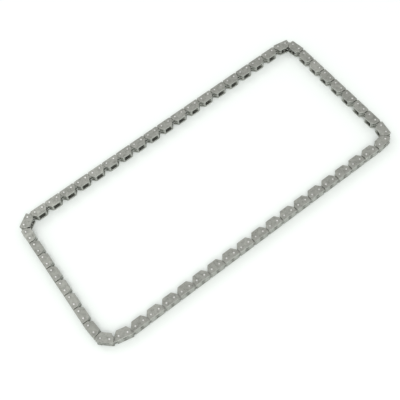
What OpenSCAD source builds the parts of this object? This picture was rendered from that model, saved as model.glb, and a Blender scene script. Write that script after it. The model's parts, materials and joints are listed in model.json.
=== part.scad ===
// Endless inverted-tooth timing chain, lying on its side as a closed loop.
// The teeth face into the loop, the pins stand upright and their riveted heads rest on the ground.
// Guide rows and plain rows take turns along the chain.
// A guide row is two guide plates riveted on two pins, with one toothed link between them.
// A plain row is two toothed links that turn on the pins of the guide rows on either side.

/* [Chain] */
// Distance between neighbouring pins
pitch = 6.35; // [6:0.05:9.5]
// Rows in each straight span of the two long runs
long_span_rows = 9; // [7:2:13]
// Rows in each straight span of the two short runs
short_span_rows = 5; // [3:2:9]
// Angle by which the loop lies out of square
skew = 2; // [0:0.5:4]

/* [Plates] */
// Thickness of every plate
plate_t = 1.2; // [1:0.05:1.4]
// Height of the toothed side over the line of the pins
tooth_height = 4.4; // [4:0.05:4.7]
// Height of the smooth back over the line of the pins
back_height = 2.6; // [2.3:0.05:2.8]
// Gap between the ends of neighbouring guide plates
plate_gap = 0.75; // [0.6:0.05:1.2]
// Rounding of the guide plates' corners and the tooth tips
corner_r = 0.7; // [0.4:0.05:0.8]
// Rounding of the toothed links' back corners
link_back_r = 1.5; // [0.8:0.1:1.7]
// Lean of the teeth's outer flanks
flank_angle = 30; // [26:1:32]
// How far the flanks lie inside the ends of the guide plates
flank_inset = 0.2; // [0.1:0.05:0.4]
// Depth of the crotch between a link's two teeth
crotch_depth = 3.2; // [2.8:0.1:3.6]
// Lean of the crotch's straight sides
crotch_angle = 25; // [20:1:28]
// Lean of the guide plates' shoulders
shoulder_angle = 38; // [36:1:45]
// Height over the line of the pins at which the shoulders start
shoulder_height = 1.1; // [0.6:0.05:1.15]

/* [Pins] */
// Diameter of the pins
pin_d = 1.9; // [1.6:0.05:2.2]
// Width of the riveted rim around a pin's end
head_lip = 0.17; // [0.1:0.01:0.25]
// Height of the riveted head over the guide plate
head_h = 0.2; // [0.15:0.01:0.3]
// Height of the straight edge round the riveted rim
rim_h = 0.06; // [0.02:0.01:0.1]
// Diameter of the flat on a riveted head
head_flat_d = 1.1; // [0.8:0.05:1.4]

/* [Clearances] */
// Clearance all round a pin in a toothed link
running_gap = 0.04; // [0.02:0.01:0.08]
// Gap between neighbouring plates along the pins
side_gap = 0.05; // [0.03:0.01:0.1]
// Gap all round a riveted pin in its guide plates
rivet_gap = 0.01; // [0.005:0.005:0.02]

/* [Hidden] */
$fn = 64;

function sum(v, i = 0) = i < len(v) ? v[i] + sum(v, i + 1) : 0;
function straight(rows) = [for (i = [1:rows]) 0];

// How the chain is laid: each list holds the bend at the first pin of every row of one rigid span.
// The spans follow each other round the loop, and every swing row stands between two longer spans.
// The bends of each corner add up to its whole turn. The near and right corners end in a swing row
// that makes up the last bend of their turn.
far_bends = [0, 0, 8, 30, 42];
left_bends = [0, 0, 0, 0, 35, 37];
near_bends = [5, 7, 35, 26, 5];
right_bends = [0, 0, 0, 0, 7, 37, 35];
wide_turn = 90 + skew;
sharp_turn = 90 - skew;
swing = straight(1);
long_run = [straight(long_span_rows), swing, straight(long_span_rows), swing, straight(long_span_rows), swing];
short_run = [straight(short_span_rows), swing, straight(short_span_rows), swing];
spans = concat(
    [concat(far_bends, [wide_turn - sum(far_bends)], swing), swing], long_run,
    [concat(left_bends, [sharp_turn - sum(left_bends)]), swing], short_run,
    [near_bends, [wide_turn - sum(near_bends)]], long_run,
    [right_bends, [sharp_turn - sum(right_bends)]], short_run
);
SPAN_NAMES = [
    "far_corner", "swing_1", "far_1", "swing_2", "far_2", "swing_3", "far_3", "swing_4",
    "left_corner", "swing_5", "left_1", "swing_6", "left_2", "swing_7",
    "near_corner", "swing_8", "near_1", "swing_9", "near_2", "swing_10", "near_3", "swing_11",
    "right_corner", "swing_12", "right_1", "swing_13", "right_2", "swing_14"
];
first_rows = [for (i = 0, row = 0; i < len(spans); row = row + len(spans[i]), i = i + 1) row];
function rows_of(name) =
    let (i = search([name], SPAN_NAMES)[0])
    [for (j = [1:len(spans[i])]) first_rows[i] + j - 1];

// Heading of every row. Two rows, one in the far corner and one in the right corner,
// take the headings that bring the last pin back to the first.
bends = [for (span = spans) each span];
row_count = len(bends);
rough_headings = [
    for (i = 0, a = sharp_turn + bends[0]; i < row_count; i = i + 1, a = i < row_count ? a + bends[i] : a) a
];
function along(a) = [cos(a), sin(a)];
// The closing row of a corner is the one with the sharpest bends at its two ends.
function closing_row(name) =
    let (rows = rows_of(name), both_bends = [for (row = rows) bends[row] + bends[row + 1]])
    rows[search(max(both_bends), both_bends)[0]];
closing_far = closing_row("far_corner");
closing_right = closing_row("right_corner");
open_steps = [for (i = [0:row_count - 1]) if (i != closing_far && i != closing_right) along(rough_headings[i])];
to_close = -[sum([for (s = open_steps) s.x]), sum([for (s = open_steps) s.y])];
closing_mid = atan2(to_close.y, to_close.x);
closing_half = acos(norm(to_close) / 2);
headings = [
    for (i = [0:row_count - 1])
        i == closing_far ? closing_mid + closing_half
        : i == closing_right ? closing_mid - closing_half
        : rough_headings[i]
];
raw_pins = [
    for (i = 0, p = [0, 0]; i < row_count; p = p + pitch * along(headings[i]), i = i + 1) p
];

// Plate outlines in the row's own frame: first pin at the origin, second at x = pitch,
// back towards -y and teeth towards +y. An outline is a row of corner circles joined by straight edges,
// and each circle is given as [x, y, radius].
end_reach = (pitch - plate_gap) / 2;
corner_x = -(end_reach - corner_r);
tip_y = tooth_height - corner_r;
shoulder_x = corner_x + (tip_y - shoulder_height) * tan(shoulder_angle);
guide_half = [
    [shoulder_x, tip_y, corner_r],
    [corner_x, shoulder_height, corner_r],
    [corner_x, -(back_height - corner_r), corner_r]
];
flank_reach = end_reach - flank_inset - corner_r;
tip_x = (tip_y * sin(flank_angle) - flank_reach) / cos(flank_angle);
flank_foot_y = (flank_reach + corner_x * cos(flank_angle)) / sin(flank_angle);
link_half = [
    [tip_x, tip_y, corner_r],
    [corner_x, flank_foot_y, corner_r],
    [-(end_reach - link_back_r), -(back_height - link_back_r), link_back_r]
];
function mirrored(points) =
    [for (i = [len(points) - 1:-1:0]) [pitch - points[i].x, points[i].y, points[i].z]];
guide_corners = concat(guide_half, mirrored(guide_half));
link_corners = concat(link_half, mirrored(link_half));

// The straight edges from each corner circle to the next, touching both from outside.
function edges_round(corners) = [
    for (i = [1:len(corners) - 1])
        let (
            a = corners[i - 1],
            b = corners[i],
            step = [b.x - a.x, b.y - a.y] / norm([b.x - a.x, b.y - a.y]),
            tilt = (a.z - b.z) / norm([b.x - a.x, b.y - a.y]),
            out = [step.y, -step.x] * sqrt(1 - tilt * tilt) + step * tilt
        )
        each [[a.x, a.y] + out * a.z, [b.x, b.y] + out * b.z]
];

// The crotch is a circle below two straight sides that touch the tooth tips.
tip_to_mid = pitch / 2 - tip_x;
tip_over_floor = crotch_depth - corner_r;
crotch_lean = along(crotch_angle);
crotch_r = (tip_to_mid * crotch_lean.x - tip_over_floor * crotch_lean.y - corner_r) / (1 - crotch_lean.y);
crotch_centre = [pitch / 2, tooth_height - crotch_depth + crotch_r];
crotch_top = [tip_x, tip_y] + corner_r * crotch_lean;
crotch_foot = crotch_centre - crotch_r * crotch_lean;
crotch_edge = [
    [pitch - crotch_top.x, crotch_top.y],
    [pitch - crotch_foot.x, crotch_foot.y],
    crotch_centre,
    crotch_foot,
    crotch_top
];

// The loop is moved so that the middle of its outline lies over the origin.
function turned(p, a) = [p.x * cos(a) - p.y * sin(a), p.x * sin(a) + p.y * cos(a)];
outline = [
    for (i = [0:row_count - 1]) for (c = i % 2 == 0 ? guide_corners : link_corners)
        let (p = raw_pins[i] + turned(c, headings[i]))
        [p.x, p.y, c.z]
];
middle = [
    (max([for (c = outline) c.x + c.z]) + min([for (c = outline) c.x - c.z])) / 2,
    (max([for (c = outline) c.y + c.z]) + min([for (c = outline) c.y - c.z])) / 2
];
pins = [for (p = raw_pins) p - middle];

// The plates lie in five layers: guide, plain, guide row's own link, plain, guide.
layer_step = plate_t + side_gap;
stack_base = head_h + rivet_gap;
stack_height = 5 * plate_t + 4 * side_gap;
pin_length = 2 * stack_base + stack_height;
head_r = pin_d / 2 + head_lip;

// The corner circles and the area inside the given edges.
module round_cornered(corners, edges) {
    polygon(edges);
    for (c = corners) translate([c.x, c.y]) circle(c.z);
}

module pin_holes(d) {
    circle(d = d);
    translate([pitch, 0]) circle(d = d);
}

module guide_plate() {
    linear_extrude(plate_t) difference() {
        round_cornered(guide_corners, edges_round(concat(guide_corners, [guide_corners[0]])));
        pin_holes(pin_d + 2 * rivet_gap);
    }
}

module toothed_link() {
    linear_extrude(plate_t) difference() {
        round_cornered(link_corners, concat(edges_round(link_corners), crotch_edge));
        translate(crotch_centre) circle(crotch_r);
        pin_holes(pin_d + 2 * running_gap);
    }
}

// A pin with its two riveted heads, turned as one profile.
module pin() {
    lower = [[0, 0], [head_flat_d / 2, 0], [head_r, head_h - rim_h], [head_r, head_h]];
    shank = [[pin_d / 2, head_h], [pin_d / 2, pin_length - head_h]];
    upper = [for (i = [len(lower) - 1:-1:0]) [lower[i].x, pin_length - lower[i].y]];
    rotate_extrude() polygon(concat(lower, shank, upper));
}

module in_row(row, layer) {
    translate([pins[row].x, pins[row].y, stack_base + layer * layer_step]) rotate(headings[row]) children();
}

module guides(name) {
    color("#9a9c94") for (row = rows_of(name)) if (row % 2 == 0) {
        in_row(row, 0) guide_plate();
        in_row(row, 4) guide_plate();
    }
}

module rivets(name) {
    color("#c8c9c4") for (row = rows_of(name)) if (row % 2 == 0) {
        translate(pins[row]) pin();
        translate(pins[(row + 1) % row_count]) pin();
    }
}

module links(name) {
    color("#7f817b") for (row = rows_of(name)) {
        if (row % 2 == 0) in_row(row, 2) toothed_link();
        else {
            in_row(row, 1) toothed_link();
            in_row(row, 3) toothed_link();
        }
    }
}

guides("far_corner");  // guides_far_corner
rivets("far_corner");  // pins_far_corner
links("far_corner");  // links_far_corner
links("swing_1");  // links_swing_1
guides("far_1");  // guides_far_1
rivets("far_1");  // pins_far_1
links("far_1");  // links_far_1
links("swing_2");  // links_swing_2
guides("far_2");  // guides_far_2
rivets("far_2");  // pins_far_2
links("far_2");  // links_far_2
links("swing_3");  // links_swing_3
guides("far_3");  // guides_far_3
rivets("far_3");  // pins_far_3
links("far_3");  // links_far_3
links("swing_4");  // links_swing_4
guides("left_corner");  // guides_left_corner
rivets("left_corner");  // pins_left_corner
links("left_corner");  // links_left_corner
links("swing_5");  // links_swing_5
guides("left_1");  // guides_left_1
rivets("left_1");  // pins_left_1
links("left_1");  // links_left_1
links("swing_6");  // links_swing_6
guides("left_2");  // guides_left_2
rivets("left_2");  // pins_left_2
links("left_2");  // links_left_2
links("swing_7");  // links_swing_7
guides("near_corner");  // guides_near_corner
rivets("near_corner");  // pins_near_corner
links("near_corner");  // links_near_corner
links("swing_8");  // links_swing_8
guides("near_1");  // guides_near_1
rivets("near_1");  // pins_near_1
links("near_1");  // links_near_1
links("swing_9");  // links_swing_9
guides("near_2");  // guides_near_2
rivets("near_2");  // pins_near_2
links("near_2");  // links_near_2
links("swing_10");  // links_swing_10
guides("near_3");  // guides_near_3
rivets("near_3");  // pins_near_3
links("near_3");  // links_near_3
links("swing_11");  // links_swing_11
guides("right_corner");  // guides_right_corner
rivets("right_corner");  // pins_right_corner
links("right_corner");  // links_right_corner
links("swing_12");  // links_swing_12
guides("right_1");  // guides_right_1
rivets("right_1");  // pins_right_1
links("right_1");  // links_right_1
links("swing_13");  // links_swing_13
guides("right_2");  // guides_right_2
rivets("right_2");  // pins_right_2
links("right_2");  // links_right_2
links("swing_14");  // links_swing_14
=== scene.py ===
"""An endless silent timing chain of 57 guide rows and 57 plain rows, lying in a loose loop on a pale floor.

Every plate and pin is built again here from the sizes of the part, with rolled edges, sheared walls and
riveted heads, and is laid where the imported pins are. Everything is in metres, in the part's own frame.
"""
import json
import math

import bmesh
import bpy
import numpy as np
from mathutils import Matrix, Vector

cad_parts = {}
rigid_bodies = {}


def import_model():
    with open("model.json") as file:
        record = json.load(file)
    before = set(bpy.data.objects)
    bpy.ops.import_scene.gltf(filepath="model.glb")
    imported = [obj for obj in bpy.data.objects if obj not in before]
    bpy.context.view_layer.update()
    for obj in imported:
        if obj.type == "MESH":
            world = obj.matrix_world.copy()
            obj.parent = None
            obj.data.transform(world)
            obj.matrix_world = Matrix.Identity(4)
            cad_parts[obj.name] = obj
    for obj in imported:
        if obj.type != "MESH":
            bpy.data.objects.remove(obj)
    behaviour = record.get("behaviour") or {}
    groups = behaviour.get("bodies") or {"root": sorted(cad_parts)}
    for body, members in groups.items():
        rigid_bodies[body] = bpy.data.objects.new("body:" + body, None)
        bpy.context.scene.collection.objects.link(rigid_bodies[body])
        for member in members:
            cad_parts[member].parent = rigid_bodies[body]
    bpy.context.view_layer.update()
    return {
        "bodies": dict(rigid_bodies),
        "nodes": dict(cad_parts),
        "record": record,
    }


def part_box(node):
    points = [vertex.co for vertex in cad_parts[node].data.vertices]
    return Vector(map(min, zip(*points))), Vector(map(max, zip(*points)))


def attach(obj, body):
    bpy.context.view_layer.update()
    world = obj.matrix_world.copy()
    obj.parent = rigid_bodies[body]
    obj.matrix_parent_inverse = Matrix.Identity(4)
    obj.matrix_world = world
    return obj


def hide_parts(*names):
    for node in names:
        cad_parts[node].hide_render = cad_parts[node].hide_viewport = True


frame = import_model()

MM = 0.001

# Sizes of the chain, as in the part's source
PITCH = 6.35 * MM
PLATE_T = 1.2 * MM
TOOTH_HEIGHT = 4.4 * MM
BACK_HEIGHT = 2.6 * MM
PLATE_GAP = 0.75 * MM
CORNER_R = 0.7 * MM
LINK_BACK_R = 1.5 * MM
FLANK_ANGLE = math.radians(30)
FLANK_INSET = 0.2 * MM
CROTCH_DEPTH = 3.2 * MM
CROTCH_ANGLE = math.radians(25)
SHOULDER_ANGLE = math.radians(38)
SHOULDER_HEIGHT = 1.1 * MM
PIN_R = 0.95 * MM
HEAD_LIP = 0.17 * MM
HEAD_H = 0.2 * MM
RUNNING_GAP = 0.04 * MM
SIDE_GAP = 0.05 * MM
RIVET_GAP = 0.01 * MM

# The layers of plates, counted from the floor. The inner links lie between the two links of the plain rows.
LAYERS = 5
GUIDE_LAYERS = (0, 4)
INNER_LAYERS = (2,)
PLAIN_LAYERS = (1, 3)
LAYER_STEP = PLATE_T + SIDE_GAP
STACK_BASE = HEAD_H + RIVET_GAP
PIN_LENGTH = 2 * STACK_BASE + LAYERS * LAYER_STEP - SIDE_GAP

# Lines of the plates' outlines, seen from above with the line of the pins along X and the teeth towards +Y
END_REACH = (PITCH - PLATE_GAP) / 2
HALF_LENGTH = PITCH / 2 + END_REACH
CORNER_X = HALF_LENGTH - CORNER_R
BACK_Y = -(BACK_HEIGHT - CORNER_R)
TIP_Y = TOOTH_HEIGHT - CORNER_R

# Finish of the stamped edges: the rolled side of a plate, and the small chamfer of the other
ROLL = 0.2 * MM
CHAMFER = 0.06 * MM

# Sides of the round holes and pins, few because there are hundreds of them
GUIDE_HOLE_SIDES = 10
LINK_HOLE_SIDES = 8
PIN_SIDES = 12

# Dome of a pressed rivet head from its flat middle outwards, as radius and distance from its highest point.
# A straight rim runs round it.
HEAD_DOME = [(0.32 * MM, 0), (0.6 * MM, 0.015 * MM), (0.85 * MM, 0.055 * MM)]
RIM_HEIGHT = 0.06 * MM

# How far the riveted guide plates may lie out of true. The links rock half as far on their pins.
ROCK = math.radians(0.25)

# Points of one pin lie closer together than this, and those of the next pin lie further off
PIN_SPREAD = 2.4 * MM

# The bodies that are single plain rows, between the longer spans
SWING = "swing"

QUARTER = math.pi / 2
# Lengths under this are nothing
TINY = 1e-9


def pin_centres(node):
    """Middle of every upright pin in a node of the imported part, as points on the floor."""
    left = np.array([v.co[:2] for v in node.data.vertices])
    centres = []
    while len(left):
        near = np.linalg.norm(left - left[0], axis=1) < PIN_SPREAD
        pin = left[near]
        centres.append((pin.min(0) + pin.max(0)) / 2)
        left = left[~near]
    return centres


def loop_of_pins():
    """All pins in order round the loop, each with the name of its body, starting with a guide row."""
    pins, bodies = [], []
    for body in frame["record"]["behaviour"]["bodies"]:
        node = frame["nodes"].get("pins_" + body)
        if node:
            found = pin_centres(node)
            pins += found
            bodies += [body] * len(found)
    pins = np.array(pins)
    order = [0]
    waiting = set(range(1, len(pins)))
    while waiting:
        nearest = min(waiting, key=lambda i: np.linalg.norm(pins[i] - pins[order[-1]]))
        order.append(nearest)
        waiting.remove(nearest)
    pins, bodies = pins[order], [bodies[i] for i in order]
    x, y = pins.T
    if np.sum(x * np.roll(y, -1) - y * np.roll(x, -1)) < 0:
        pins, bodies = pins[::-1], bodies[::-1]
    # A row between pins of two bodies is a plain one, so the next pin starts a guide row.
    swing_row = next(i for i in range(len(pins)) if bodies[i] != bodies[i - 1])
    return np.roll(pins, -swing_row, axis=0), bodies[swing_row:] + bodies[:swing_row]


def rows_of_chain():
    """Every row's middle, heading, kind and body, in order round the loop."""
    pins, bodies = loop_of_pins()
    swings = {
        body: sum(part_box("links_" + body), Vector()) / 2
        for body in frame["bodies"] if body.startswith(SWING)
    }
    rows = []
    for i, pin in enumerate(pins):
        after = (i + 1) % len(pins)
        middle = (pin + pins[after]) / 2
        along = pins[after] - pin
        body = bodies[i]
        if bodies[i] != bodies[after]:
            body = min(swings, key=lambda b: (swings[b].xy - Vector(middle)).length)
        rows.append({
            "middle": middle, "pins": (pin, pins[after]), "heading": math.atan2(along[1], along[0]),
            "guide": i % 2 == 0, "body": body,
        })
    return rows


def arc(centre, radius, start, end, steps):
    """Points along an arc from one angle to another, both ends included."""
    angles = [start + (end - start) * i / steps for i in range(steps + 1)]
    return [(centre[0] + radius * math.cos(a), centre[1] + radius * math.sin(a)) for a in angles]


def guide_outline(inset):
    """Right half of a guide plate's outline, from the back round to the toothed side, moved in by inset."""
    r = CORNER_R - inset
    top_x = CORNER_X - (TIP_Y - SHOULDER_HEIGHT) * math.tan(SHOULDER_ANGLE)
    back = arc((CORNER_X, BACK_Y), r, -QUARTER, 0, 3)
    shoulder = arc((CORNER_X, SHOULDER_HEIGHT), r, 0, SHOULDER_ANGLE, 2)
    top = arc((top_x, TIP_Y), r, SHOULDER_ANGLE, QUARTER, 3)
    return back + [(HALF_LENGTH - inset, 0)] + shoulder + top


def link_outline(inset):
    """Right half of a toothed link's outline, from the back round the tooth to the middle of the crotch."""
    r = CORNER_R - inset
    flank_reach = END_REACH - FLANK_INSET - CORNER_R
    tip_x = PITCH / 2 + (flank_reach - TIP_Y * math.sin(FLANK_ANGLE)) / math.cos(FLANK_ANGLE)
    foot_y = (flank_reach - (END_REACH - CORNER_R) * math.cos(FLANK_ANGLE)) / math.sin(FLANK_ANGLE)
    lean = math.sin(CROTCH_ANGLE)
    crotch_r = (tip_x * math.cos(CROTCH_ANGLE) - (CROTCH_DEPTH - CORNER_R) * lean - CORNER_R) / (1 - lean)
    crotch_y = TOOTH_HEIGHT - CROTCH_DEPTH + crotch_r
    back_centre = (HALF_LENGTH - LINK_BACK_R, -(BACK_HEIGHT - LINK_BACK_R))
    back = arc(back_centre, LINK_BACK_R - inset, -QUARTER, 0, 4)
    foot = arc((CORNER_X, foot_y), r, 0, FLANK_ANGLE, 1)
    tooth = arc((tip_x, TIP_Y), r, FLANK_ANGLE, math.pi - CROTCH_ANGLE, 4)
    crotch = arc((0, crotch_y), crotch_r + inset, -CROTCH_ANGLE, -QUARTER, 3)
    return back + [(HALF_LENGTH - inset, 0)] + foot + tooth + crotch


def whole_outline(half):
    """Both halves of an outline, counter-clockwise from the right end of the back."""
    mirrored = [(-x, y) for x, y in reversed(half) if abs(x) > TINY]
    return half + mirrored


def plate_template(name, outline, hole_r, hole_sides, rings):
    """One plate round its own middle.

    rings lists its outline from bottom to top: height, inset, and the zone of the band that ends there.
    """
    bm = bmesh.new()
    edge = bm.faces.layers.float.new("edge")
    cut = bm.faces.layers.float.new("cut")
    loops = []
    for height, inset, _ in rings:
        points = whole_outline(outline(inset))
        loops.append([bm.verts.new((x, y, height - PLATE_T / 2)) for x, y in points])
    count = len(loops[0])
    for lower, upper, (_, _, zone) in zip(loops, loops[1:], rings[1:]):
        for i in range(count):
            j = (i + 1) % count
            face = bm.faces.new((lower[i], lower[j], upper[j], upper[i]))
            face.smooth = True
            face[edge] = float(zone == "edge")
            face[cut] = float(zone == "cut")
    # Holes that clear the pin all round, with a point at each side on the line of the pins
    ring_r = hole_r / math.cos(math.pi / hole_sides)
    holes = {}
    for side in (-1, 1):
        for level, z in ((0, -PLATE_T / 2), (1, PLATE_T / 2)):
            points = arc((side * PITCH / 2, 0), ring_r, 0, 2 * math.pi, hole_sides)[:-1]
            holes[side, level] = [bm.verts.new((x, y, z)) for x, y in points]
        low, high = holes[side, 0], holes[side, 1]
        for i in range(hole_sides):
            j = (i + 1) % hole_sides
            face = bm.faces.new((high[i], high[j], low[j], low[i]))
            face.smooth = True
            face[cut] = 1.0
    # Each flat face is two halves that meet on the line of the pins
    half = hole_sides // 2
    right_end = next(i for i, v in enumerate(loops[0]) if abs(v.co.y) < TINY and v.co.x > 0)
    left_end = next(i for i, v in enumerate(loops[0]) if abs(v.co.y) < TINY and v.co.x < 0)
    for level, rim in ((0, loops[0]), (1, loops[-1])):
        right, left = holes[1, level], holes[-1, level]
        toothed = rim[right_end:left_end + 1]
        back = rim[left_end:] + rim[:right_end + 1]
        over_left = left[half::-1]
        over_right = right[half::-1]
        under_right = [right[0]] + right[:half - 1:-1]
        under_left = [left[0]] + left[:half - 1:-1]
        upper_half = toothed + over_left + over_right
        lower_half = back + under_right + under_left
        for corners in (upper_half, lower_half):
            bm.faces.new(corners if level else list(reversed(corners)))
    bmesh.ops.recalc_face_normals(bm, faces=bm.faces)
    mesh = bpy.data.meshes.new(name)
    bm.to_mesh(mesh)
    bm.free()
    return template_object(name, mesh)


def template_object(name, mesh):
    """A hidden object that only lends its mesh to the laid pieces."""
    obj = bpy.data.objects.new(name, mesh)
    bpy.context.scene.collection.objects.link(obj)
    return obj


def pin_template(name, sides):
    """A pin with two riveted heads, round its own middle. Its ring attribute is each point's radius."""
    head_r = PIN_R + HEAD_LIP
    head = HEAD_DOME + [(head_r, HEAD_H - RIM_HEIGHT), (head_r, HEAD_H), (PIN_R, HEAD_H)]
    lower_rim = len(HEAD_DOME)
    profile = [(r, z - PIN_LENGTH / 2) for r, z in head]
    profile += [(r, -z) for r, z in reversed(profile)]
    upper_rim = len(profile) - 2 - lower_rim
    bm = bmesh.new()
    ring = bm.verts.layers.float.new("ring")
    edge = bm.faces.layers.float.new("edge")
    rings = []
    for r, z in profile:
        rings.append([])
        for i in range(sides):
            angle = 2 * math.pi * i / sides
            vert = bm.verts.new((r * math.cos(angle), r * math.sin(angle), z))
            vert[ring] = r
            rings[-1].append(vert)
    for level, (lower, upper) in enumerate(zip(rings, rings[1:])):
        for i in range(sides):
            j = (i + 1) % sides
            face = bm.faces.new((lower[i], lower[j], upper[j], upper[i]))
            face.smooth = True
            face[edge] = float(level in (lower_rim, upper_rim))
    for end in (list(reversed(rings[0])), rings[-1]):
        bm.faces.new(end).smooth = True
    bmesh.ops.recalc_face_normals(bm, faces=bm.faces)
    mesh = bpy.data.meshes.new(name)
    bm.to_mesh(mesh)
    bm.free()
    return template_object(name, mesh)


def laying_tree():
    """Lays a template at every point of a mesh, turned and flipped as the point says, in its own tone."""
    tree = bpy.data.node_groups.new("lay pieces", "GeometryNodeTree")
    for label, kind, out in (
        ("Points", "NodeSocketGeometry", "INPUT"), ("Piece", "NodeSocketObject", "INPUT"),
        ("Rock", "NodeSocketFloat", "INPUT"), ("Seed", "NodeSocketInt", "INPUT"),
        ("Finish", "NodeSocketMaterial", "INPUT"), ("Laid pieces", "NodeSocketGeometry", "OUTPUT"),
    ):
        tree.interface.new_socket(name=label, in_out=out, socket_type=kind)
    nodes, link = tree.nodes, tree.links.new
    given, result = nodes.new("NodeGroupInput"), nodes.new("NodeGroupOutput")

    def attribute(name):
        node = nodes.new("GeometryNodeInputNamedAttribute")
        node.data_type = "FLOAT"
        node.inputs["Name"].default_value = name
        return node.outputs["Attribute"]

    def random(low, high, seed_shift):
        shift = nodes.new("ShaderNodeMath")
        shift.inputs[1].default_value = seed_shift
        link(given.outputs["Seed"], shift.inputs[0])
        node = nodes.new("FunctionNodeRandomValue")
        node.data_type = "FLOAT"
        node.inputs[2].default_value = low
        node.inputs[3].default_value = high
        link(shift.outputs[0], node.inputs["Seed"])
        return node.outputs[1]

    def times(a, b):
        node = nodes.new("ShaderNodeMath")
        node.operation = "MULTIPLY"
        link(a, node.inputs[0])
        if isinstance(b, float):
            node.inputs[1].default_value = b
        else:
            link(b, node.inputs[1])
        return node.outputs[0]

    turn = nodes.new("ShaderNodeCombineXYZ")
    link(times(given.outputs["Rock"], random(-1.0, 1.0, 1)), turn.inputs["X"])
    link(times(attribute("flip"), math.pi), turn.inputs["Y"])
    link(attribute("heading"), turn.inputs["Z"])
    rotation = nodes.new("FunctionNodeEulerToRotation")
    link(turn.outputs[0], rotation.inputs[0])

    piece = nodes.new("GeometryNodeObjectInfo")
    piece.transform_space = "ORIGINAL"
    link(given.outputs["Piece"], piece.inputs["Object"])
    lay = nodes.new("GeometryNodeInstanceOnPoints")
    link(given.outputs["Points"], lay.inputs["Points"])
    link(piece.outputs["Geometry"], lay.inputs["Instance"])
    link(rotation.outputs[0], lay.inputs["Rotation"])
    tone = nodes.new("GeometryNodeStoreNamedAttribute")
    tone.data_type, tone.domain = "FLOAT", "INSTANCE"
    tone.inputs["Name"].default_value = "tone"
    link(lay.outputs["Instances"], tone.inputs["Geometry"])
    link(random(-1.0, 1.0, 2), tone.inputs["Value"])
    realize = nodes.new("GeometryNodeRealizeInstances")
    link(tone.outputs["Geometry"], realize.inputs["Geometry"])
    finish = nodes.new("GeometryNodeSetMaterial")
    link(realize.outputs["Geometry"], finish.inputs["Geometry"])
    link(given.outputs["Finish"], finish.inputs["Material"])
    link(finish.outputs["Geometry"], result.inputs["Laid pieces"])
    return tree


def lay_pieces(name, body, places, template, tree, seed, rock, material):
    """One finished piece: the template laid at every place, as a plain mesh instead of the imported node."""
    mesh = bpy.data.meshes.new(name + " places")
    mesh.from_pydata([spot["at"] for spot in places], [], [])
    for key in ("heading", "flip"):
        values = mesh.attributes.new(key, "FLOAT", "POINT")
        values.data.foreach_set("value", [float(spot[key]) for spot in places])
    obj = bpy.data.objects.new(name, mesh)
    bpy.context.scene.collection.objects.link(obj)
    modifier = obj.modifiers.new("lay pieces", "NODES")
    modifier.node_group = tree
    sockets = {item.name: item.identifier for item in tree.interface.items_tree if item.in_out == "INPUT"}
    for label, value in (("Piece", template), ("Rock", rock), ("Seed", seed), ("Finish", material)):
        modifier[sockets[label]] = value
    graph = bpy.context.evaluated_depsgraph_get()
    laid = bpy.data.meshes.new_from_object(
        obj.evaluated_get(graph), preserve_all_data_layers=True, depsgraph=graph)
    obj.modifiers.remove(modifier)
    obj.data = laid
    bpy.data.meshes.remove(mesh)
    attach(obj, body)
    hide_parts(name)
    return obj


def place(row, layer):
    """Where a plate of a row lies: its middle, its heading, and whether its rolled side points down."""
    height = STACK_BASE + layer * LAYER_STEP + PLATE_T / 2
    return {"at": (*row["middle"], height), "heading": row["heading"], "flip": layer < LAYERS // 2}


# Scales of the steel's mottle to the metre, and how far it darkens, smooths, roughens and dents the face
CLOUD_SCALE = 420.0
SPECKLE_SCALE = 1300.0
FLECK_FULL = 0.25
FLECK_SHARE = 0.74
CLOUD_SMOOTHS = 0.06
CLOUD_ROUGHENS = 0.08
RELIEF = 0.02 * MM
# How far the streaks of a sheared wall take the fleck's colour
STREAK_SHARE = 0.5


def shader_group(name, inputs, outputs):
    """An empty shader node group with named sockets: its tree, its input node and its output node."""
    tree = bpy.data.node_groups.new(name, "ShaderNodeTree")
    for label, kind, value in inputs:
        socket = tree.interface.new_socket(name=label, in_out="INPUT", socket_type="NodeSocket" + kind)
        socket.default_value = value
    for label, kind in outputs:
        tree.interface.new_socket(name=label, in_out="OUTPUT", socket_type="NodeSocket" + kind)
    return tree, tree.nodes.new("NodeGroupInput"), tree.nodes.new("NodeGroupOutput")


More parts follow.
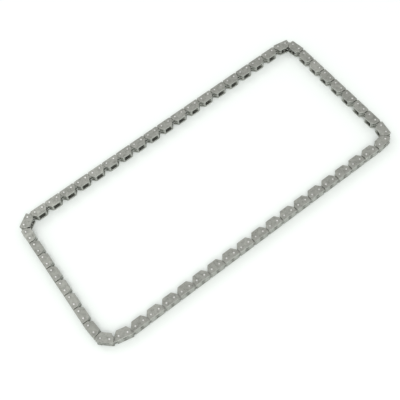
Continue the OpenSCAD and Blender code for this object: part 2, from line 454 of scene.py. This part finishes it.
class Maker:
    """Short calls for the few kinds of node that the finishes use."""

    def __init__(self, tree):
        self.tree = tree

    def put(self, value, socket):
        """Links a socket's output to an input, or sets the input to a plain value."""
        if isinstance(value, bpy.types.NodeSocket):
            self.tree.links.new(value, socket)
        else:
            socket.default_value = value

    def math(self, operation, a, b=0.0, clamp=False):
        node = self.tree.nodes.new("ShaderNodeMath")
        node.operation, node.use_clamp = operation, clamp
        self.put(a, node.inputs[0])
        self.put(b, node.inputs[1])
        return node.outputs[0]

    def noise(self, scale, detail, roughness=0.55, stretch=(1, 1, 1)):
        """A noise fixed to the piece, whose scale counts its blotches to the metre."""
        where = self.tree.nodes.new("ShaderNodeTexCoord")
        mapping = self.tree.nodes.new("ShaderNodeMapping")
        mapping.inputs["Scale"].default_value = stretch
        self.tree.links.new(where.outputs["Object"], mapping.inputs["Vector"])
        node = self.tree.nodes.new("ShaderNodeTexNoise")
        node.inputs["Detail"].default_value = detail
        node.inputs["Roughness"].default_value = roughness
        self.tree.links.new(mapping.outputs[0], node.inputs["Vector"])
        self.put(scale, node.inputs["Scale"])
        return node.outputs["Fac"]

    def spread(self, value, low, high, to_low=0.0, to_high=1.0):
        """Stretches a value's run from low to high over the run from to_low to to_high."""
        node = self.tree.nodes.new("ShaderNodeMapRange")
        self.put(value, node.inputs["Value"])
        for end, limit in (("From Min", low), ("From Max", high), ("To Min", to_low), ("To Max", to_high)):
            self.put(limit, node.inputs[end])
        return node.outputs[0]

    def attribute(self, name):
        node = self.tree.nodes.new("ShaderNodeAttribute")
        node.attribute_name = name
        return node.outputs["Fac"]

    def blend(self, factor, a, b):
        """The colour a, turning into b as the factor goes from 0 to 1. Sockets 6 and 7 take the colours."""
        node = self.tree.nodes.new("ShaderNodeMix")
        node.data_type = "RGBA"
        self.put(factor, node.inputs["Factor"])
        self.put(a, node.inputs[6])
        self.put(b, node.inputs[7])
        return node.outputs[2]

    def group(self, tree, **values):
        """A shared effect with this material's own values, named with underscores for spaces."""
        node = self.tree.nodes.new("ShaderNodeGroup")
        node.node_tree = tree
        for label, value in values.items():
            self.put(value, node.inputs[label.replace("_", " ")])
        return node.outputs


def tumbled_grain():
    """The fine mottle of hardened and tumbled steel: a broad cloud, a fine speckle and their relief."""
    tree, given, result = shader_group(
        "tumbled grain",
        [("Cloud Scale", "Float", CLOUD_SCALE), ("Speckle Scale", "Float", SPECKLE_SCALE)],
        [("Cloud", "Float"), ("Speckle", "Float"), ("Height", "Float")])
    make = Maker(tree)
    cloud = make.noise(given.outputs["Cloud Scale"], 3.0)
    speckle = make.noise(given.outputs["Speckle Scale"], 4.0, 0.65)
    make.put(make.spread(cloud, 0.3, 0.7), result.inputs["Cloud"])
    make.put(make.spread(speckle, 0.3, 0.7), result.inputs["Speckle"])
    make.put(make.math("ADD", make.math("MULTIPLY", cloud, 0.4), speckle), result.inputs["Height"])
    return tree


def edge_wear_and_highlight():
    """Where the rolled edges of a plate or a pin's rim are lighter: partly rubbed bright, partly a painted
    highlight, broken up by a fine noise.
    """
    tree, given, result = shader_group("edge wear", [("Amount", "Float", 0.7)], [("Mask", "Float")])
    make = Maker(tree)
    breakup = make.spread(make.noise(1400.0, 3.0), 0.35, 0.6, 0.45, 1.0)
    mask = make.math("MULTIPLY", make.attribute("edge"), breakup)
    make.put(make.math("MULTIPLY", mask, given.outputs["Amount"], clamp=True), result.inputs["Mask"])
    return tree


def sheared_wall():
    """The stamped wall of a plate: streaks along the punch's way, which is along the pins."""
    tree, given, result = shader_group(
        "sheared wall",
        [("Depth", "Float", 1.0)],
        [("Mask", "Float"), ("Streak", "Float"), ("Height", "Float")])
    make = Maker(tree)
    streak = make.noise(5200.0, 2.0, 0.5, (1, 1, 0.12))
    wall = make.attribute("cut")
    make.put(wall, result.inputs["Mask"])
    make.put(make.spread(streak, 0.3, 0.7), result.inputs["Streak"])
    make.put(make.math("MULTIPLY", make.math("MULTIPLY", streak, wall), given.outputs["Depth"]),
             result.inputs["Height"])
    return tree


def steel(name, groups, colours, rough, tone_swing, bump, wear, wall_depth, painted_glint=None):
    """One steel finish, lighter or darker on each piece by up to tone_swing.

    colours names those of the face, its dark fleck, the edge and the sheared wall, and rough names the
    roughness of all but the fleck. The edge colour is lighter, partly rubbed bright and partly a painted
    highlight, and the wall colour is lighter than the face as painted light on the lit walls. The last
    argument paints a highlight in the middle of a pin head, for the lamps' glint on its dome: the radius
    that is bright all over, the radius where the brightness ends, and its colour.
    """
    material = bpy.data.materials.new(name)
    material.use_nodes = True
    tree = material.node_tree
    shader = next(n for n in tree.nodes if n.type == "BSDF_PRINCIPLED")
    make = Maker(tree)
    grain = make.group(groups["grain"], Cloud_Scale=CLOUD_SCALE, Speckle_Scale=SPECKLE_SCALE)
    worn_and_highlit = make.group(groups["wear"], Amount=wear)["Mask"]
    wall = make.group(groups["wall"], Depth=wall_depth)
    paint = {zone: (*colour, 1.0) for zone, colour in colours.items()}
    flecked = make.spread(grain["Speckle"], FLECK_FULL, 1.0, FLECK_SHARE, 0.0)
    surface = make.blend(make.math("MULTIPLY", flecked, grain["Cloud"]), paint["face"], paint["fleck"])
    # The sheared walls take their own colour, lighter than the face: painted light on walls lit by the front
    # lamp and the floor.
    streak_share = make.spread(wall["Streak"], 0.0, 1.0, 0.0, STREAK_SHARE)
    surface = make.blend(wall["Mask"], surface, make.blend(streak_share, paint["wall"], paint["fleck"]))
    # Lighter edges: partly rubbed bright, partly a painted highlight along the rims.
    surface = make.blend(worn_and_highlit, surface, paint["edge"])
    # Painted highlight: the middle of each pin head is bright, for the lamps' glint on its dome.
    if painted_glint:
        bright_r, dull_r, bright = painted_glint
        middle = make.spread(make.attribute("ring"), bright_r, dull_r, 1.0, 0.0)
        surface = make.blend(middle, surface, (*bright, 1.0))
    lightness = make.math("ADD", 1.0, make.math("MULTIPLY", make.attribute("tone"), tone_swing))
    toned = tree.nodes.new("ShaderNodeVectorMath")
    toned.operation = "SCALE"
    make.put(surface, toned.inputs[0])
    make.put(lightness, toned.inputs["Scale"])
    tree.links.new(toned.outputs[0], shader.inputs["Base Color"])
    shader.inputs["Metallic"].default_value = 1.0
    smoothest, roughest = rough["face"] - CLOUD_SMOOTHS, rough["face"] + CLOUD_ROUGHENS
    face_rough = make.spread(grain["Cloud"], 0.0, 1.0, smoothest, roughest)
    walled = make.math("ADD", face_rough, make.math("MULTIPLY", wall["Mask"], rough["wall"] - rough["face"]))
    edged = make.math("ADD", walled, make.math("MULTIPLY", worn_and_highlit, rough["edge"] - rough["face"]), clamp=True)
    tree.links.new(edged, shader.inputs["Roughness"])
    relief = tree.nodes.new("ShaderNodeBump")
    relief.inputs["Strength"].default_value = bump
    relief.inputs["Distance"].default_value = RELIEF
    make.put(make.math("ADD", grain["Height"], wall["Height"]), relief.inputs["Height"])
    tree.links.new(relief.outputs[0], shader.inputs["Normal"])
    return material


def make_finishes():
    """The three finishes of the chain, named by the record's material slots."""
    groups = {"grain": tumbled_grain(), "wear": edge_wear_and_highlight(), "wall": sheared_wall()}
    return {
        # The sheared walls are lighter than the faces: painted light on walls lit by the front lamp and the
        # floor.
        "guide_plates": steel(
            "guide plate steel", groups,
            colours={
                "face": (0.398, 0.406, 0.37), "fleck": (0.15, 0.155, 0.138),
                "edge": (0.43, 0.437, 0.402), "wall": (0.55, 0.56, 0.525)},
            rough={"face": 0.45, "edge": 0.35, "wall": 0.3},
            tone_swing=0.08, bump=0.35, wear=0.8, wall_depth=1.4),
        # The links are lighter than the guide plates: painted light that fills the shade of the gaps where
        # they show between the guides.
        "toothed_links": steel(
            "toothed link steel", groups,
            colours={
                "face": (0.44, 0.448, 0.412), "fleck": (0.2, 0.205, 0.187),
                "edge": (0.48, 0.488, 0.452), "wall": (0.53, 0.54, 0.505)},
            rough={"face": 0.45, "edge": 0.38, "wall": 0.3},
            tone_swing=0.08, bump=0.35, wear=0.7, wall_depth=1.4),
        "riveted_pins": steel(
            "pin steel", groups,
            colours={
                "face": (0.35, 0.353, 0.325), "fleck": (0.25, 0.253, 0.23),
                "edge": (0.44, 0.443, 0.41), "wall": (0.4, 0.403, 0.38)},
            rough={"face": 0.38, "edge": 0.38, "wall": 0.4},
            tone_swing=0.1, bump=0.2, wear=0.6, wall_depth=0.0,
            # The bright middle of each pin head is a painted highlight, for the lamps' glint on its dome.
            painted_glint=(0.5 * MM, 0.75 * MM, (0.7, 0.702, 0.68))),
    }


def guide_rings():
    """Bands of a guide plate from its chamfered side to its rolled side: height, inset and zone."""
    fall = ROLL * (1 - math.cos(QUARTER / 2))
    rise = ROLL * math.sin(QUARTER / 2)
    return [
        (0, CHAMFER, ""), (CHAMFER, 0, "edge"), (PLATE_T - ROLL, 0, "cut"),
        (PLATE_T - ROLL + rise, fall, "edge"), (PLATE_T, ROLL, "edge"),
    ]


def link_rings():
    """Bands of a toothed link, with a chamfer on both sides."""
    return [
        (0, CHAMFER, ""), (CHAMFER, 0, "edge"), (PLATE_T - CHAMFER, 0, "cut"), (PLATE_T, CHAMFER, "edge"),
    ]


def build_chain():
    """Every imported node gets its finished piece."""
    finishes = make_finishes()
    tree = laying_tree()
    guide = plate_template("guide plate", guide_outline, PIN_R + RIVET_GAP, GUIDE_HOLE_SIDES, guide_rings())
    link = plate_template("toothed link", link_outline, PIN_R + RUNNING_GAP, LINK_HOLE_SIDES, link_rings())
    pin = pin_template("pin", PIN_SIDES)
    rows = rows_of_chain()
    for seed, body in enumerate(frame["bodies"]):
        mine = [row for row in rows if row["body"] == body]
        guides = [place(row, layer) for row in mine if row["guide"] for layer in GUIDE_LAYERS]
        links = [
            place(row, layer) for row in mine for layer in (INNER_LAYERS if row["guide"] else PLAIN_LAYERS)]
        pins = [
            {"at": (*at, PIN_LENGTH / 2), "heading": 0.0, "flip": False}
            for row in mine if row["guide"] for at in row["pins"]]
        for kind, places, template, tilt, slot in (
            ("guides_", guides, guide, ROCK, "guide_plates"),
            ("links_", links, link, ROCK / 2, "toothed_links"),
            ("pins_", pins, pin, 0.0, "riveted_pins"),
        ):
            if places:
                lay_pieces(kind + body, body, places, template, tree, seed, tilt, finishes[slot])
    for template in (guide, link, pin):
        bpy.data.objects.remove(template)


def plain_material(name, colour, rough):
    """A matt material of one colour."""
    material = bpy.data.materials.new(name)
    material.use_nodes = True
    shader = next(n for n in material.node_tree.nodes if n.type == "BSDF_PRINCIPLED")
    shader.inputs["Base Color"].default_value = (*colour, 1.0)
    shader.inputs["Roughness"].default_value = rough
    return material


# Half the floor's width, in metres
FLOOR_REACH = 1.5


def lay_floor():
    """The plain pale floor that the chain lies on."""
    corners = [(x * FLOOR_REACH, y * FLOOR_REACH, 0) for x, y in ((-1, -1), (1, -1), (1, 1), (-1, 1))]
    mesh = bpy.data.meshes.new("floor")
    mesh.from_pydata(corners, [], [(0, 1, 2, 3)])
    floor = bpy.data.objects.new("floor", mesh)
    bpy.context.scene.collection.objects.link(floor)
    mesh.materials.append(plain_material("pale floor", (0.9, 0.94, 0.91), 0.9))


def soft_box(name, stand, size, power):
    """A square white area light that faces the middle of the chain. stand is its place and size its side."""
    light = bpy.data.lights.new(name, "AREA")
    light.shape, light.size = "SQUARE", size
    light.energy = power
    obj = bpy.data.objects.new(name, light)
    bpy.context.scene.collection.objects.link(obj)
    aim = -Vector(stand)
    obj.rotation_euler = aim.to_track_quat("-Z", "Y").to_euler()
    obj.location = stand


def light_studio():
    """A white room with a soft lamp at the back and a stronger one at the front left."""
    world = bpy.data.worlds.new("white room")
    bpy.context.scene.world = world
    world.use_nodes = True
    sky = world.node_tree.nodes["Background"]
    sky.inputs["Color"].default_value = (1.0, 1.0, 1.0, 1.0)
    sky.inputs["Strength"].default_value = 0.88
    soft_box("back lamp", stand=(-0.2, 1.1, 0.9), size=0.6, power=1.97)
    soft_box("front lamp", stand=(-0.3, -0.6, 0.9), size=0.6, power=3.74)


# The photograph's view: the point that the camera looks at, from what side, how far off and how turned.
# The focal length is in pixels of the photograph, and the sensor's width in millimetres.
LOOK_AT = Vector((-12.31 * MM, -8.543 * MM, 0.75 * MM))
VIEW_AZIMUTH = math.radians(25.289)
VIEW_ELEVATION = math.radians(59.611)
VIEW_ROLL = math.radians(-13.485)
VIEW_DISTANCE = 557.022 * MM
FOCAL_PIXELS = 774.343
IMAGE_PIXELS = 400
SENSOR = 36.0


def set_camera():
    """A camera at the photograph's viewing angle, rolled as the photograph is."""
    camera = bpy.data.cameras.new("camera")
    camera.sensor_width = SENSOR
    camera.lens = FOCAL_PIXELS / IMAGE_PIXELS * SENSOR
    camera.clip_start = 0.01
    obj = bpy.data.objects.new("camera", camera)
    bpy.context.scene.collection.objects.link(obj)
    flat, down = math.cos(VIEW_ELEVATION), math.sin(VIEW_ELEVATION)
    forward = Vector((math.sin(VIEW_AZIMUTH) * flat, math.cos(VIEW_AZIMUTH) * flat, -down))
    level = Vector((math.cos(VIEW_AZIMUTH), -math.sin(VIEW_AZIMUTH), 0))
    upright = level.cross(forward)
    right = math.cos(VIEW_ROLL) * level + math.sin(VIEW_ROLL) * upright
    up = right.cross(forward)
    obj.matrix_world = Matrix.Translation(LOOK_AT - forward * VIEW_DISTANCE) @ Matrix(
        (right, up, -forward)).transposed().to_4x4()
    bpy.context.scene.camera = obj


build_chain()
lay_floor()
light_studio()
set_camera()
bpy.context.scene.view_settings.view_transform = "Standard"
